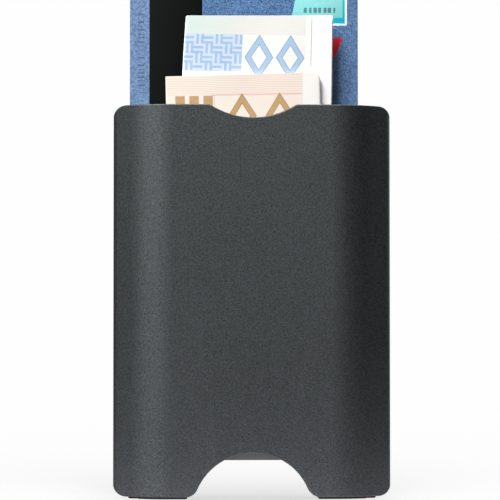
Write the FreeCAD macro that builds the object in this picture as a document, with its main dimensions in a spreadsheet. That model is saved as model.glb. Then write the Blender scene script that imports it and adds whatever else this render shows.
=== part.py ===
import FreeCAD, Part
from collections import namedtuple
import math
import os
import re

import Sketcher

# Minimalist card-and-cash wallet: an extruded aluminium sleeve with two bays, a stainless
# spring plate and two felt strips that grip the cards, two moulded feet that close the
# bottom, four bank cards with chip modules and two folded banknotes.
#
# Frame: +Z up, +X to the viewer's right, and the cash bay faces -Y. The origin is the
# middle of the wallet's footprint, on the plane that its feet stand on.

DIMENSIONS = {
    # sleeve
    "sleeve_width": 65.4,
    "sleeve_depth": 11.7,
    "sleeve_height": 91.9,
    "wall": 1.2,
    "web": 0.9,
    "front_flat": 38.0,
    "shoulder_radius": 16.4,
    "flank_angle": 35.0,
    "front_edge_radius": 2.0,
    "back_edge_radius": 2.6,
    "corner_radius": 3.0,
    "corner_overrun": 0.05,
    "card_bay_width": 58.4,
    "card_bay_depth": 5.6,
    "cash_bay_width": 54.0,
    "bay_corner_radius": 0.8,
    "thumb_radius": 14.2,
    "thumb_centre_height": -3.4,
    "thumb_flare": 3.0,
    "rear_thumb_radius": 15.4,
    "notch_radius": 18.5,
    "notch_depth": 3.05,
    "notch_flare": 1.5,
    "rim_break": 0.25,
    # feet
    "foot_proud": 0.5,
    "foot_flange": 1.5,
    "foot_inner": 8.5,
    "foot_arch_radius": 15.8,
    "foot_gap": 0.05,
    "card_stop_height": 8.9,
    "note_stop_height": 9.6,
    "foot_crown": 0.35,
    # spring plate
    "plate_thickness": 0.3,
    "plate_gap": 0.02,
    "plate_width": 56.0,
    "plate_bottom": 8.94,
    "plate_top": 87.0,
    "plate_corner": 2.0,
    "leg_centre": 22.0,
    "leg_width": 5.0,
    "leg_bottom": 3.0,
    "tongue_centre": 15.0,
    "tongue_width": 8.0,
    "tongue_slot": 1.0,
    "tongue_root": 24.0,
    "tongue_tip": 70.0,
    "tongue_crest": 60.0,
    "tongue_lift": 0.75,
    # felt strips
    "felt_width": 10.0,
    "felt_height": 62.0,
    "felt_thickness": 1.2,
    "felt_centre": 17.0,
    "felt_bottom": 16.0,
    "felt_corner": 1.5,
    # bank cards, the size of an ID-1 card
    "card_width": 53.98,
    "card_height": 85.6,
    "card_thickness": 0.76,
    "card_corner": 3.18,
    "card_front": 0.15,
    "card_gap": 0.06,
    "card_centre": -1.9,
    "card_parked": 8.95,
    "card_raise": 30.0,
    "chip_width": 11.8,
    "chip_height": 13.0,
    "chip_corner": 1.6,
    "chip_thickness": 0.28,
    "chip_gap": 0.02,
    "chip_from_end": 14.7,
    "chip_from_centre": -3.1,
    # banknotes, each folded twice
    "note_leaf": 0.22,
    "note_thickness": 0.85,
    "front_note_width": 36.3,
    "front_note_height": 70.0,
    "front_note_bottom": 29.5,
    "front_note_centre": -0.9,
    "front_note_y": -4.45,
    "front_note_tilt": 1.2,
    "rear_note_width": 35.4,
    "rear_note_height": 66.5,
    "rear_note_bottom": 47.1,
    "rear_note_centre": 0.4,
    "rear_note_y": -3.4,
    "rear_note_tilt": -0.8,
}

# Faces that several pieces share, as formulas over the sheet's cells.
FRONT = "-sleeve_depth / 2"
BACK = "sleeve_depth / 2"
CASH_FRONT = "(-sleeve_depth / 2 + wall)"
CARD_REAR = "(sleeve_depth / 2 - wall)"
WEB_REAR = "(sleeve_depth / 2 - wall - card_bay_depth)"
WEB_FRONT = "(sleeve_depth / 2 - wall - card_bay_depth - web)"
SLEEVE_TOP = "(foot_proud + sleeve_height)"
SHOULDER_CENTRE = "(shoulder_radius - sleeve_depth / 2)"
CARD_PITCH = "(card_thickness + card_gap)"
THROUGH_DEPTH = "4 * sleeve_depth"
THROUGH_HEIGHT = "4 * sleeve_height"

START, END, CENTRE = 1, 2, 3
V_AXIS = -2
LEFT, RIGHT = 1, -1
LEFT_SIDE, RIGHT_SIDE = "-", ""
Arc = namedtuple("Arc", "radius turn")

doc = FreeCAD.newDocument("wallet")
sheet = doc.addObject("Spreadsheet::Sheet", "sheet")
for row, (alias, number) in enumerate(DIMENSIONS.items(), start=1):
    sheet.set(f"A{row}", alias)
    sheet.set(f"B{row}", str(number))
    sheet.setAlias(f"B{row}", alias)
doc.recompute()


def linked(formula):
    """The formula with every alias pointing at its cell in the sheet."""
    return re.sub(r"[a-z]+(_[a-z]+)*", lambda word: f"sheet.{word[0]}" if word[0] in DIMENSIONS
                  else word[0], formula)


def value(formula):
    """The number that a formula comes to now."""
    return float(sheet.evalExpression(linked(formula)))


def bind(thing, **formulas):
    """Tie properties of an object to formulas."""
    for name, formula in formulas.items():
        thing.setExpression(name.replace("__", "."), linked(formula))


# ---------------------------------------------------------------- sketches and features

def new_body(label):
    body = doc.addObject("PartDesign::Body", label)
    body.Label = label
    return body


def new_sketch(body, name, plane, offset=None):
    """A sketch on one of the body's own origin planes, moved along the plane's normal."""
    sketch = body.newObject("Sketcher::SketchObject", f"{body.Name}_{name}")
    support = next(f for f in body.Origin.OriginFeatures if f.Role == plane)
    sketch.AttachmentSupport = [(support, "")]
    sketch.MapMode = "FlatFace"
    if offset:
        bind(sketch, AttachmentOffset__Base__z=offset)
    return sketch


def arc_between(start, end, arc):
    """The short arc from one corner to the next, its angles running anticlockwise."""
    chord = end - start
    radius = value(arc.radius)
    reach = math.sqrt(max(radius ** 2 - chord.Length ** 2 / 4, 0.0))
    aside = FreeCAD.Vector(-chord.y, chord.x, 0).normalize() * reach * arc.turn
    centre = (start + end) / 2 + aside
    first, last = (start, end) if arc.turn == LEFT else (end, start)
    angles = [math.atan2(p.y - centre.y, p.x - centre.x) for p in (first, last)]
    circle = Part.Circle(centre, FreeCAD.Vector(0, 0, 1), radius)
    return Part.ArcOfCircle(circle, *angles)


def draw(sketch, path):
    """Draw a closed outline. A path is a ring of corners (x, y), each a pair of formulas, with
    an Arc between two corners wherever the side that joins them is round."""
    corners = [entry for entry in path if not isinstance(entry, Arc)]
    bends = {}
    passed = 0
    for entry in path:
        if isinstance(entry, Arc):
            bends[passed - 1] = entry
        else:
            passed += 1

    points = [FreeCAD.Vector(value(x), value(y), 0) for x, y in corners]
    sides = []
    for i, point in enumerate(points):
        after = points[(i + 1) % len(points)]
        bend = bends.get(i)
        shape = arc_between(point, after, bend) if bend else Part.LineSegment(point, after)
        ends = (END, START) if bend and bend.turn == RIGHT else (START, END)
        sides.append((sketch.addGeometry(shape, False), *ends))

    for i, (side, first, last) in enumerate(sides):
        following, following_first, _ = sides[(i + 1) % len(sides)]
        sketch.addConstraint(Sketcher.Constraint("Coincident", side, last,
                                                 following, following_first))
        x, y = corners[i]
        fix(sketch, f"corner_{side}_x", x,
            Sketcher.Constraint("DistanceX", side, first, points[i].x))
        fix(sketch, f"corner_{side}_y", y,
            Sketcher.Constraint("DistanceY", side, first, points[i].y))
        if i in bends:
            fix(sketch, f"bend_{side}_radius", bends[i].radius,
                Sketcher.Constraint("Radius", side, value(bends[i].radius)))


def fix(sketch, name, formula, constraint):
    """Add a dimension to a sketch and tie it to a formula."""
    index = sketch.addConstraint(constraint)
    sketch.renameConstraint(index, name)
    sketch.setExpression(f"Constraints.{name}", linked(formula))


def add_circle(sketch, radius, height):
    """A circle centred on the sketch's upright axis."""
    centre = FreeCAD.Vector(0, value(height), 0)
    circle = Part.Circle(centre, FreeCAD.Vector(0, 0, 1), value(radius))
    index = sketch.addGeometry(circle, False)
    sketch.addConstraint(Sketcher.Constraint("PointOnObject", index, CENTRE, V_AXIS))
    fix(sketch, "centre_height", height,
        Sketcher.Constraint("DistanceY", index, CENTRE, centre.y))
    fix(sketch, "circle_radius", radius,
        Sketcher.Constraint("Radius", index, value(radius)))


def mirror_x(path):
    """A path that starts and ends away from the Y axis, closed by its own mirror image."""
    other = [entry if isinstance(entry, Arc) else (f"-({entry[0]})", entry[1])
             for entry in reversed(path)]
    return path + other


def box(left, right, low, high):
    return [(left, low), (right, low), (right, high), (left, high)]


def rounded_box(left, right, low, high, radius):
    bend = Arc(radius, LEFT)
    return [(f"{left} + {radius}", low), (f"{right} - {radius}", low), bend,
            (right, f"{low} + {radius}"), (right, f"{high} - {radius}"), bend,
            (f"{right} - {radius}", high), (f"{left} + {radius}", high), bend,
            (left, f"{high} - {radius}"), (left, f"{low} + {radius}"), bend]


def pad(body, sketch, length, **options):
    feature = body.newObject("PartDesign::Pad", f"{sketch.Name}_pad")
    return extrude(feature, sketch, length, options)


def pocket(body, sketch, length, **options):
    """A pocket, checked to remove material: one that faces the wrong way removes none."""
    before = body.Shape.Volume
    feature = body.newObject("PartDesign::Pocket", f"{sketch.Name}_pocket")
    extrude(feature, sketch, length, options)
    if body.Shape.Volume >= before:
        raise RuntimeError(f"{feature.Name} cuts nothing")
    return feature


def extrude(feature, sketch, length, options):
    feature.Profile = sketch
    for name, setting in options.items():
        setattr(feature, name, setting)
    bind(feature, Length=length)
    sketch.Visibility = False
    doc.recompute()
    return feature


def round_edges(body, radius, wanted):
    """Round the edges of the body's last feature that the test picks."""
    base = body.Tip
    shape = base.Shape
    names = [f"Edge{i}" for i, edge in enumerate(shape.Edges, start=1) if wanted(shape, edge)]
    if not names:
        raise RuntimeError(f"{body.Name} has no edge to round")
    feature = body.newObject("PartDesign::Fillet", f"{body.Name}_{base.Name}_round")
    feature.Base = (base, names)
    bind(feature, Radius=radius)
    doc.recompute()
    return feature


# ---------------------------------------------------------------- sleeve

def sleeve_section():
    """The extrusion's outer section: a flat front that falls away to both sides."""
    bend_x = "(front_flat / 2 + shoulder_radius * sin(flank_angle))"
    bend_y = f"({FRONT} + shoulder_radius * (1 - cos(flank_angle)))"
    edge_y = f"({bend_y} + (sleeve_width / 2 - {bend_x}) * tan(flank_angle))"
    setback = "(front_edge_radius * tan((90 - flank_angle) / 2))"
    return mirror_x([
        ("front_flat / 2", FRONT),
        Arc("shoulder_radius", LEFT),
        (bend_x, bend_y),
        (f"sleeve_width / 2 - {setback} * cos(flank_angle)",
         f"{edge_y} - {setback} * sin(flank_angle)"),
        Arc("front_edge_radius", LEFT),
        ("sleeve_width / 2", f"{edge_y} + {setback}"),
        ("sleeve_width / 2", f"{BACK} - back_edge_radius"),
        Arc("back_edge_radius", LEFT),
        ("sleeve_width / 2 - back_edge_radius", BACK),
    ])


def cash_front_edge(inset):
    """From the flat of the cash bay's front round to its side, with the bay drawn smaller."""
    radius = f"(shoulder_radius - wall - {inset})"
    side = f"(cash_bay_width / 2 - {inset})"
    return [
        ("front_flat / 2", f"{CASH_FRONT} + {inset}"),
        Arc(radius, LEFT),
        (side, f"{SHOULDER_CENTRE} - sqrt({radius}^2 - ({side} - front_flat / 2)^2)"),
    ]


def thumb_side(radius):
    """The right side of a thumb arch, down to the flare that meets the bottom edge."""
    reach = f"({radius} + thumb_flare)"
    rise = "(foot_proud + thumb_flare - thumb_centre_height)"
    flare_x = f"sqrt({reach}^2 - {rise}^2)"
    return [
        (f"{flare_x} * {radius} / {reach}",
         f"thumb_centre_height + {rise} * {radius} / {reach}"),
        Arc("thumb_flare", LEFT),
        (flare_x, "foot_proud"),
    ]


def front_outline():
    """The sleeve seen from the front: round corners, finger notch above, thumb arch below."""
    side = "sleeve_width / 2"
    bottom = "foot_proud"
    reach = "(notch_radius + notch_flare)"
    drop = "(notch_radius - notch_depth + notch_flare)"
    lip_x = f"sqrt({reach}^2 - {drop}^2)"
    notch_centre = f"({SLEEVE_TOP} - notch_depth + notch_radius)"
    corner = Arc("corner_radius", LEFT)
    corner_x = f"{side} + corner_overrun - corner_radius"
    corner_rise = "(corner_radius - sqrt(corner_radius^2 - (corner_radius - corner_overrun)^2))"
    right_half = thumb_side("thumb_radius") + [
        (corner_x, bottom),
        corner,
        (side, f"{bottom} + {corner_rise}"),
        (side, f"{SLEEVE_TOP} - {corner_rise}"),
        corner,
        (corner_x, SLEEVE_TOP),
        (lip_x, SLEEVE_TOP),
        Arc("notch_flare", LEFT),
        (f"{lip_x} * notch_radius / {reach}",
         f"{notch_centre} - {drop} * notch_radius / {reach}"),
        Arc("notch_radius", RIGHT),
    ]
    return mirror_x(right_half) + [Arc("thumb_radius", RIGHT)]


def cut_by_outline(face):
    """Whether a face was left by the front outline: round about Y, or level."""
    surface = face.Surface
    if isinstance(surface, Part.Cylinder):
        return abs(surface.Axis.y) > 0.99
    return isinstance(surface, Part.Plane) and abs(surface.Axis.z) > 0.99


def make_sleeve():
    body = new_body("sleeve")
    section = new_sketch(body, "section", "XY_Plane", "foot_proud")
    draw(section, sleeve_section())
    pad(body, section, "sleeve_height")

    cash_bay = new_sketch(body, "cash_bay", "XY_Plane")
    draw(cash_bay, mirror_x(cash_front_edge("0") + [("cash_bay_width / 2", WEB_FRONT)]))
    pocket(body, cash_bay, THROUGH_HEIGHT, Midplane=True)

    card_bay = new_sketch(body, "card_bay", "XY_Plane")
    draw(card_bay, rounded_box("-card_bay_width / 2", "card_bay_width / 2",
                               WEB_REAR, CARD_REAR, "bay_corner_radius"))
    pocket(body, card_bay, THROUGH_HEIGHT, Midplane=True)

    trim = new_sketch(body, "front_outline", "XZ_Plane")
    draw(trim, front_outline())
    draw(trim, box("-sleeve_width", "sleeve_width", "-sleeve_width", "2 * sleeve_height"))
    pocket(body, trim, THROUGH_DEPTH, Midplane=True)

    thumb = new_sketch(body, "rear_thumb", "XZ_Plane", f"-({WEB_REAR} + card_bay_depth / 2)")
    below = (thumb_side("rear_thumb_radius")[-1][0], "foot_proud - thumb_flare")
    draw(thumb, mirror_x(thumb_side("rear_thumb_radius") + [below])
         + [Arc("rear_thumb_radius", RIGHT)])
    pocket(body, thumb, "sleeve_depth")

    def on_rim(shape, edge):
        faces = shape.ancestorsOfType(edge, Part.Face)
        return sum(cut_by_outline(face) for face in faces) == 1

    round_edges(body, "rim_break", on_rim)

    relief = new_sketch(body, "web_relief", "XY_Plane")
    draw(relief, box("-cash_bay_width / 2", "cash_bay_width / 2",
                     f"{WEB_FRONT} - web", f"{WEB_REAR} + web"))
    pocket(body, relief, "foot_flange + foot_gap", Reversed=True)
    return body


# ---------------------------------------------------------------- feet

def make_foot():
    """The right foot: a flange under the web, with a stop standing up into each bay."""
    body = new_body("foot_right")
    card_side = "(card_bay_width / 2 - foot_gap)"
    cash_side = "(cash_bay_width / 2 - foot_gap)"
    card_low = f"({WEB_REAR} + foot_gap)"
    card_high = f"({CARD_REAR} - foot_gap)"
    cash_edge = cash_front_edge("foot_gap")
    cash_front = ("foot_inner", f"{CASH_FRONT} + foot_gap")
    rear_corners = [
        (card_side, f"{card_low} + bay_corner_radius"),
        (card_side, f"{card_high} - bay_corner_radius"),
        Arc("bay_corner_radius", LEFT),
        (f"{card_side} - bay_corner_radius", card_high),
        ("foot_inner", card_high),
    ]

    flange = new_sketch(body, "flange", "XY_Plane")
    draw(flange, [cash_front] + cash_edge + [
        (cash_side, card_low),
        (f"{card_side} - bay_corner_radius", card_low),
        Arc("bay_corner_radius", LEFT)] + rear_corners)
    pad(body, flange, "foot_flange")

    card_stop = new_sketch(body, "card_stop", "XY_Plane")
    draw(card_stop, [
        ("foot_inner", card_low),
        (f"{card_side} - bay_corner_radius", card_low),
        Arc("bay_corner_radius", LEFT)] + rear_corners)
    pad(body, card_stop, "card_stop_height")

    note_stop = new_sketch(body, "note_stop", "XY_Plane")
    draw(note_stop, [cash_front] + cash_edge + [
        (cash_side, f"{WEB_FRONT} - foot_gap"),
        ("foot_inner", f"{WEB_FRONT} - foot_gap")])
    pad(body, note_stop, "note_stop_height")

    leg_slot = new_sketch(body, "leg_slot", "XY_Plane", "leg_bottom - foot_gap")
    draw(leg_slot, box("leg_centre - leg_width / 2 - foot_gap",
                       "leg_centre + leg_width / 2 + foot_gap",
                       f"{WEB_REAR} - web / 4",
                       f"{WEB_REAR} + plate_gap + plate_thickness + foot_gap"))
    pocket(body, leg_slot, "card_stop_height", Reversed=True)

    arch = new_sketch(body, "arch", "XZ_Plane")
    add_circle(arch, "foot_arch_radius", "thumb_centre_height")
    pocket(body, arch, THROUGH_DEPTH, Midplane=True)

    sole = "foot_crown / 10"
    round_edges(body, "foot_crown", lambda shape, edge: edge.BoundBox.ZMax < value(sole))
    return body


def mirror_foot(foot):
    """The left foot is the right one's mirror image."""
    mirrored = doc.addObject("Part::Mirroring", "foot_left")
    mirrored.Label = "foot_left"
    mirrored.Source = foot
    mirrored.Normal = (1, 0, 0)
    return mirrored


# ---------------------------------------------------------------- spring plate

def make_spring_plate():
    """A thin plate on the web's rear face: two legs below, two bowed tongues that press on
    the cards."""
    body = new_body("spring_plate")
    face = f"({WEB_REAR} + plate_gap)"
    side = "(plate_width / 2)"
    leg_in = "(leg_centre - leg_width / 2)"
    leg_out = "(leg_centre + leg_width / 2)"
    corner = Arc("plate_corner", LEFT)
    blank = new_sketch(body, "blank", "XZ_Plane", f"-{face}")
    draw(blank, mirror_x([
        (leg_in, "plate_bottom"),
        (leg_in, "leg_bottom"),
        (leg_out, "leg_bottom"),
        (leg_out, "plate_bottom"),
        (f"{side} - plate_corner", "plate_bottom"),
        corner,
        (side, "plate_bottom + plate_corner"),
        (side, "plate_top - plate_corner"),
        corner,
        (f"{side} - plate_corner", "plate_top"),
    ]))
    pad(body, blank, "plate_thickness", Reversed=True)

    windows = new_sketch(body, "windows", "XZ_Plane", f"-{face}")
    for side_sign in (LEFT_SIDE, RIGHT_SIDE):
        centre = f"{side_sign}tongue_centre"
        reach = "(tongue_width / 2 + tongue_slot)"
        draw(windows, rounded_box(f"{centre} - {reach}", f"{centre} + {reach}", "tongue_root",
                                  "tongue_tip + tongue_slot", "tongue_slot"))
    pocket(body, windows, "4 * plate_thickness", Midplane=True)

    bow = "(((tongue_crest - tongue_root)^2 + tongue_lift^2) / (2 * tongue_lift))"
    tip_drop = f"({bow} - sqrt({bow}^2 - (tongue_tip - tongue_crest)^2))"
    crest = f"({face} + tongue_lift)"
    for name, side_sign in (("left", LEFT_SIDE), ("right", RIGHT_SIDE)):
        strip = new_sketch(body, f"tongue_{name}", "YZ_Plane", f"{side_sign}tongue_centre")
        draw(strip, [
            (face, "tongue_root"),
            (f"{face} + plate_thickness", "tongue_root"),
            Arc(f"({bow} + plate_thickness)", LEFT),
            (f"{crest} - {tip_drop} + plate_thickness", "tongue_tip"),
            (f"{crest} - {tip_drop}", "tongue_tip"),
            Arc(bow, RIGHT),
        ])
        pad(body, strip, "tongue_width", Midplane=True)
    return body


# ---------------------------------------------------------------- felt strips

def make_felt(name, side_sign):
    body = new_body(f"felt_pad_{name}")
    outline = new_sketch(body, "outline", "XZ_Plane", f"-{CARD_REAR} + plate_gap")
    centre = f"{side_sign}felt_centre"
    draw(outline, rounded_box(f"{centre} - felt_width / 2", f"{centre} + felt_width / 2",
                              "felt_bottom", "felt_bottom + felt_height", "felt_corner"))
    pad(body, outline, "felt_thickness")
    return body


# ---------------------------------------------------------------- bank cards

def card_bottom(index):
    """The first card is raised, and the others stand on the feet's card stops."""
    return "(card_parked + card_raise)" if index == 0 else "card_parked"


def make_card(index, name):
    """A card with a shallow chip pocket in the face that looks at +Y."""
    body = new_body(name)
    height = card_bottom(index)
    front = f"(card_front + {index} * {CARD_PITCH})"
    rear = f"({front} + card_thickness)"
    half = "card_width / 2"
    outline = new_sketch(body, "outline", "XZ_Plane", f"-{front}")
    draw(outline, rounded_box(f"card_centre - {half}", f"card_centre + {half}",
                              height, f"({height} + card_height)", "card_corner"))
    pad(body, outline, "card_thickness", Reversed=True)
    seat = new_sketch(body, "chip_seat", "XZ_Plane", f"-{rear}")
    draw(seat, chip_outline(height, "chip_gap"))
    pocket(body, seat, "chip_thickness + chip_gap", Reversed=True)
    return body


def chip_outline(height, margin):
    centre_x = "(card_centre + chip_from_centre)"
    centre_z = f"({height} + card_height - chip_from_end)"
    wide = f"(chip_width / 2 + {margin})"
    tall = f"(chip_height / 2 + {margin})"
    return rounded_box(f"{centre_x} - {wide}", f"{centre_x} + {wide}",
                       f"{centre_z} - {tall}", f"{centre_z} + {tall}", "chip_corner")


def make_chip(index, name):
    """The contact plate that sits in a card's pocket, level with the card's face."""
    body = new_body(f"{name}_chip")
    height = card_bottom(index)
    rear = f"(card_front + {index} * {CARD_PITCH} + card_thickness)"
    outline = new_sketch(body, "outline", "XZ_Plane", f"-{rear}")
    draw(outline, chip_outline(height, "0"))
    pad(body, outline, "chip_thickness")
    return body


# ---------------------------------------------------------------- banknotes

def make_note(name, fold):
    """A note folded to a quarter: two double leaves and the fold that joins them. It stands
    on a short side and leans a little in its own plane."""
    body = new_body(name)
    free = f"{fold}(-{name}_width / 2)"
    bend = f"{fold}({name}_width / 2 - note_thickness / 2)"
    outer_end = f"{fold}({name}_width / 2)"
    inner_end = f"{fold}({name}_width / 2 - note_leaf)"
    near = f"{name}_y"
    middle = f"({name}_y + note_thickness / 2)"
    far = f"({name}_y + note_thickness)"
    turn = LEFT if fold == RIGHT_SIDE else RIGHT
    around = Arc("note_thickness / 2", turn)
    within = Arc("(note_thickness / 2 - note_leaf)", -turn)
    section = new_sketch(body, "section", "XY_Plane")
    draw(section, [
        (free, near),
        (bend, near),
        around,
        (outer_end, middle),
        around,
        (bend, far),
        (free, far),
        (free, f"{far} - note_leaf"),
        (bend, f"{far} - note_leaf"),
        within,
        (inner_end, middle),
        within,
        (bend, f"{near} + note_leaf"),
        (free, f"{near} + note_leaf"),
    ])
    pad(body, section, f"{name}_height")
    body.Placement.Rotation = FreeCAD.Rotation(FreeCAD.Vector(0, -1, 0), 0)
    bind(body, Placement__Base__x=f"{name}_centre", Placement__Base__z=f"{name}_bottom",
         Placement__Rotation__Angle=f"{name}_tilt")
    return body


# ---------------------------------------------------------------- assembly

CARDS = ["front_card", "second_card", "third_card", "rear_card"]

foot = make_foot()
pieces = [make_sleeve(), foot, mirror_foot(foot), make_spring_plate(),
          make_felt("left", LEFT_SIDE), make_felt("right", RIGHT_SIDE)]
for number, card in enumerate(CARDS):
    pieces += [make_card(number, card), make_chip(number, card)]
pieces += [make_note("front_note", RIGHT_SIDE), make_note("rear_note", LEFT_SIDE)]
doc.recompute()

failed = [thing.Name for thing in doc.Objects
          if "Invalid" in thing.State or "Error" in thing.State]
if failed:
    raise RuntimeError(f"did not build: {failed}")
for piece in pieces:
    if piece.Shape.isNull() or not piece.Shape.isValid():
        raise RuntimeError(f"{piece.Label} has no sound shape")

os.makedirs("parts", exist_ok=True)
for piece in pieces:
    piece.Shape.exportStep(f"parts/{piece.Label}.step")
    extent = piece.Shape.BoundBox
    print(f"{piece.Label:18} {piece.Shape.Volume:9.1f} mm3 "
          f"x {extent.XMin:7.2f} {extent.XMax:7.2f}  y {extent.YMin:6.2f} {extent.YMax:6.2f}  "
          f"z {extent.ZMin:7.2f} {extent.ZMax:7.2f}  solids {len(piece.Shape.Solids)}")
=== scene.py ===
import math
import random
from collections import namedtuple

import bmesh
import bpy
from mathutils import Matrix, Vector, noise


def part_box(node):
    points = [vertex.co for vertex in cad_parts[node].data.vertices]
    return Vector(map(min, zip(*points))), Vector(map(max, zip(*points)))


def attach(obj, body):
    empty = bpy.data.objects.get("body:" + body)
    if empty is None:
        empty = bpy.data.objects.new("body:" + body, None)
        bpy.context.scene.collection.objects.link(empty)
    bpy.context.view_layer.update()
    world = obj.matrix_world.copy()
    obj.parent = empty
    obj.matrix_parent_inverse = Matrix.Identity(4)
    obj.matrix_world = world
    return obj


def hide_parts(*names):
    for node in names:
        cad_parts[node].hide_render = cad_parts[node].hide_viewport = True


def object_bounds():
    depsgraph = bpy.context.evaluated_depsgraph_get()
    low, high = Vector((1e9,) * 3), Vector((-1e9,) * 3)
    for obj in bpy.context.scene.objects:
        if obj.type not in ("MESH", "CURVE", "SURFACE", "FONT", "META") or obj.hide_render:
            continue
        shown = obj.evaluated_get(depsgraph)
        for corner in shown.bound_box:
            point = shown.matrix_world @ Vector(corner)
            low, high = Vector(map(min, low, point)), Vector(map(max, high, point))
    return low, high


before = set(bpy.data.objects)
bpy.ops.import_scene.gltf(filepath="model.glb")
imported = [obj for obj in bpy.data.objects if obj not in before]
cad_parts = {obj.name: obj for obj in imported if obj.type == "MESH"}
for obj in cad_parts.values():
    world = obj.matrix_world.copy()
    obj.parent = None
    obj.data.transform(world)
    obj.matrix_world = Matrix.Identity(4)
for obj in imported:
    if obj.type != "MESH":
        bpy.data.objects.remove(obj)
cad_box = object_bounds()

# The minimalist wallet: an anodised metal sleeve that holds four cards and two folded banknotes.
# Meshes are in metres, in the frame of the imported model: X across, front at -Y, Z up.
# Inside a material, every place and size is in millimetres.

MM = 0.001

# Camera
CAMERA_AZIMUTH = -2.25
CAMERA_ELEVATION = -1.9
CAMERA_DISTANCE = 0.620
CAMERA_LENS = 189.1
CAMERA_AIM_SHARE = 0.632  # height aimed at, as a share of the sleeve's height
CAMERA_AIM_ACROSS = -0.5 * MM

# Light. The metal mirrors the lobes of the world; everything matt is lit by the lamps and the dome.
BACKDROP = 0.99
DOME_LIGHT = 0.105
MIRROR_BASE = 0.01
Lobe = namedtuple("Lobe", "azimuth elevation sharpness radiance")
SOFTBOX_AZIMUTH = -34
SOFTBOX_TOP = Lobe(SOFTBOX_AZIMUTH, 50, 8, 2.0)
SOFTBOX_BOTTOM = Lobe(SOFTBOX_AZIMUTH, 30, 8, 0.75)
OVERHEAD = Lobe(0, 80, 10, 1.0)
LEFT_EDGE = Lobe(-120, 20, 20, 0.3)
RIGHT_EDGE = Lobe(130, 20, 20, 0.4)
BEHIND = 180  # the same softbox again, half a turn round, for the wallet's back
Lamp = namedtuple("Lamp", "name azimuth elevation distance size power")
LAMPS = (
    Lamp("key", -42, 58, 0.9, 0.34, 17.6),
    Lamp("back_fill", 150, 35, 1.0, 0.6, 9.0),
    Lamp("left_fill", -96, 12, 0.9, 0.4, 2.6),
    Lamp("right_fill", 96, 12, 0.9, 0.4, 2.6),
)

# Floor
FLOOR_RADIUS = 4.0
FLOOR_TONE = 0.80
FLOOR_LIFT = 0.90
FLOOR_DROP = 0.02 * MM  # just under the feet, so that the two never share a plane
FLOOR_FADE_START = 170.0
FLOOR_FADE_END = 670.0
# The contact shadow is painted into the floor's glow: it is CONTACT_DEPTH darker at the sleeve's foot and
# fades over CONTACT_REACH. Behind the wallet it reaches SHADOW_STRETCH times as far. At its sides it starts
# SHADOW_INSET inside the sleeve and fades SHADOW_PINCH times as fast, less so further back, over
# SHADOW_SPREAD.
CONTACT_REACH = 11.0
CONTACT_DEPTH = 0.25
SHADOW_STRETCH = 6.4
SHADOW_INSET = 8.0
SHADOW_PINCH = 1.7
SHADOW_SPREAD = 50.0
# What the metal mirrors of the floor: a glow that fades over BOUNCE_REACH, stronger to left and right.
BOUNCE_COLOUR = (1.0, 0.94, 0.99)
BOUNCE_REACH = 70.0
BOUNCE_NEAR = 0.60
BOUNCE_SIDE = 0.55
BOUNCE_FAR = 0.02
WHITE = (1.0, 1.0, 1.0)

# Paper of the banknotes
PAPER = 0.09 * MM
LEAF_GAP = 0.12 * MM
INNER_INSET = 0.25 * MM
SHEET_ROWS = 64
SHEET_STEP = 0.9 * MM
TURN_STEPS = 10
RIPPLE = 0.14 * MM
LAYER_RIPPLE = 0.01 * MM
TURN_CLEARANCE = 0.05 * MM
FOOT_WEAR = 0.4  # how far the fold's corners are worn, as a share of their radius
HEAD_WEAR = 0.8
PINCH_REACH = 16 * MM
NoteShape = namedtuple("NoteShape", "tilt fold_side inset head_slope creep corner pinch lean seed")
FRONT_NOTE = NoteShape(
    tilt=math.radians(1.2), fold_side=1, inset=0.1 * MM, head_slope=0.019, creep=0.25 * MM,
    corner=2.0 * MM, pinch=0.0, lean=0.0, seed=2.0,
)
REAR_NOTE = NoteShape(
    tilt=math.radians(-0.8), fold_side=-1, inset=5.2 * MM, head_slope=0.018, creep=0.15 * MM,
    corner=0.5 * MM, pinch=0.7 * MM, lean=0.30 * MM, seed=9.0,
)


# ---------------- node trees


def srgb(red, green, blue):
    """A display colour from 0 to 255 as the linear colour that shaders use."""
    shares = (channel / 255 for channel in (red, green, blue))
    return tuple(s / 12.92 if s <= 0.04045 else ((s + 0.055) / 1.055) ** 2.4 for s in shares)


class Field:
    """A value that varies over a surface: one output of a node tree, open to plain arithmetic."""

    def __init__(self, nodes, socket):
        self.nodes = nodes
        self.socket = socket

    def __add__(self, other):
        return self.nodes.math("ADD", self, other)

    def __sub__(self, other):
        return self.nodes.math("SUBTRACT", self, other)

    def __rsub__(self, other):
        return self.nodes.math("SUBTRACT", other, self)

    def __mul__(self, other):
        return self.nodes.math("MULTIPLY", self, other)

    def __truediv__(self, other):
        return self.nodes.math("DIVIDE", self, other)

    def __abs__(self):
        return self.nodes.math("ABSOLUTE", self)

    __radd__ = __add__
    __rmul__ = __mul__

    def above(self, edge, soft=0.05):
        """1 over the edge and 0 under it, with a ramp as wide as soft."""
        return self.nodes.math("MULTIPLY_ADD", self, 1 / soft, 0.5 - edge / soft, clamp=True)

    def below(self, edge, soft=0.05):
        return self.nodes.math("MULTIPLY_ADD", self, -1 / soft, 0.5 + edge / soft, clamp=True)

    def between(self, low, high, soft=0.05):
        return self.above(low, soft) * self.below(high, soft)

    def wave(self, length, phase=0.0):
        """A sine from -1 to 1 that repeats every length."""
        turns = self.nodes.math("MULTIPLY_ADD", self, 2 * math.pi / length, phase)
        return self.nodes.math("SINE", turns)

    def cell(self, size):
        return self.nodes.math("FLOOR", self / size)

    def within(self, size):
        """The place inside its own cell, from -size / 2 to size / 2."""
        return self.nodes.math("WRAP", self, -size / 2, size / 2)

    def parity(self):
        return self.nodes.math("PINGPONG", self, 1.0)


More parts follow.
